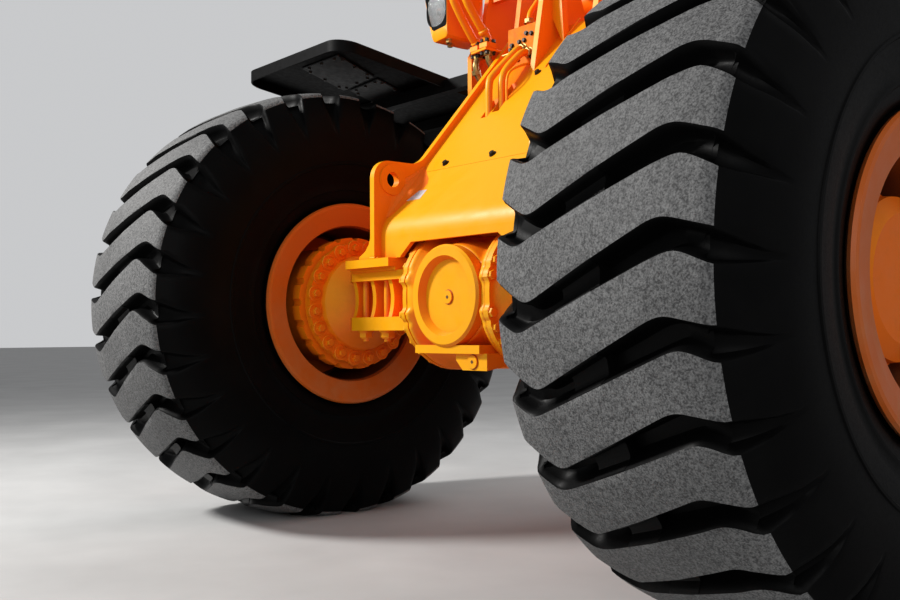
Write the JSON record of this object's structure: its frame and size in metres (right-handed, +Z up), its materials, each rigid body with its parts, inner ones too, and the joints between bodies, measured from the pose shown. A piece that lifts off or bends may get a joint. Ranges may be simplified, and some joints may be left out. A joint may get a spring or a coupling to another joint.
{
  "type": "front section of an articulated wheel loader",
  "caption": "Front frame of an articulated loader with nose, lift-arm tower, rigid drive axle, two lugged wheels, mudguards and lamps; wheels roll freely.",
  "frame": {"origin": "centre of the lower articulation bore", "axes": "+X forward, +Y to the left of the machine, +Z up"},
  "size_m": [2.6381, 3.08, 2.3948],
  "materials": {
    "axle_paint": "satin orange-yellow paint over castings",
    "frame_paint": "satin orange-yellow machine paint",
    "lamp_glass": "clear ribbed lens",
    "mudguard_black": "matte black",
    "plain_steel": "bare machined steel",
    "rim_paint": "satin orange paint",
    "tyre_rubber": "matte, worn tread faces",
    "zinc_fittings": "yellow zinc plate"
  },
  "bodies": {
    "front_frame": {"axle_arm_left": "axle_paint", "axle_arm_right": "axle_paint", "axle_centre": "axle_paint", "bay_floor_left": "frame_paint", "bay_floor_right": "frame_paint", "diff_cover": "axle_paint", "ear_blends": "frame_paint", "foot_plate_left": "frame_paint", "foot_plate_right": "frame_paint", "hinge_plate_high": "frame_paint", "hinge_plate_low": "frame_paint", "lamp_bezel_left": "mudguard_black", "lamp_bezel_right": "mudguard_black", "lamp_housing_left": "frame_paint", "lamp_housing_right": "frame_paint", "lamp_lens_left": "lamp_glass", "lamp_lens_right": "lamp_glass", "line_bulkhead": "frame_paint", "line_fittings": "zinc_fittings", "line_plate": "frame_paint", "lower_lines": "plain_steel", "mount_bolts_left": "frame_paint", "mount_bolts_right": "frame_paint", "mudguard_left": "mudguard_black", "mudguard_right": "mudguard_black", "mudguard_tubes_left": "frame_paint", "mudguard_tubes_right": "frame_paint", "nose_cover": "frame_paint", "nose_pipes": "frame_paint", "nose_plate": "frame_paint", "outer_plate_left": "frame_paint", "outer_plate_right": "frame_paint", "pinion_carrier": "axle_paint", "rear_plate_high": "frame_paint", "rear_plate_low": "frame_paint", "side_plate_left": "frame_paint", "side_plate_right": "frame_paint", "spindle_left": "axle_paint", "spindle_right": "axle_paint", "steering_lug_left": "frame_paint", "steering_lug_right": "frame_paint", "tilt_plate_left": "frame_paint", "tilt_plate_right": "frame_paint", "tower_back": "frame_paint", "tower_deck": "frame_paint", "tower_lines": "frame_paint", "tower_tube": "frame_paint", "valve_block": "frame_paint"},
    "wheel_left": {"hub_left": "axle_paint", "rim_left": "rim_paint", "tyre_left": "tyre_rubber", "wheel_nuts_left": "plain_steel"},
    "wheel_right": {"hub_right": "axle_paint", "rim_right": "rim_paint", "tyre_right": "tyre_rubber", "wheel_nuts_right": "plain_steel"},
    "drive_flange": {"pinion_flange": "plain_steel"}
  },
  "joints": [
    {"name": "wheel_left_roll", "type": "hinge", "parent": "front_frame", "child": "wheel_left", "pos_m": [1.65, 1.1675, 0.202], "axis": [0, 1, 0], "continuous": true},
    {"name": "wheel_right_roll", "type": "hinge", "parent": "front_frame", "child": "wheel_right", "pos_m": [1.65, -1.1675, 0.202], "axis": [0, 1, 0], "continuous": true},
    {"name": "drive_flange_spin", "type": "hinge", "parent": "front_frame", "child": "drive_flange", "pos_m": [1.2, 0, 0.202], "axis": [1, 0, 0], "continuous": true}
  ]
}
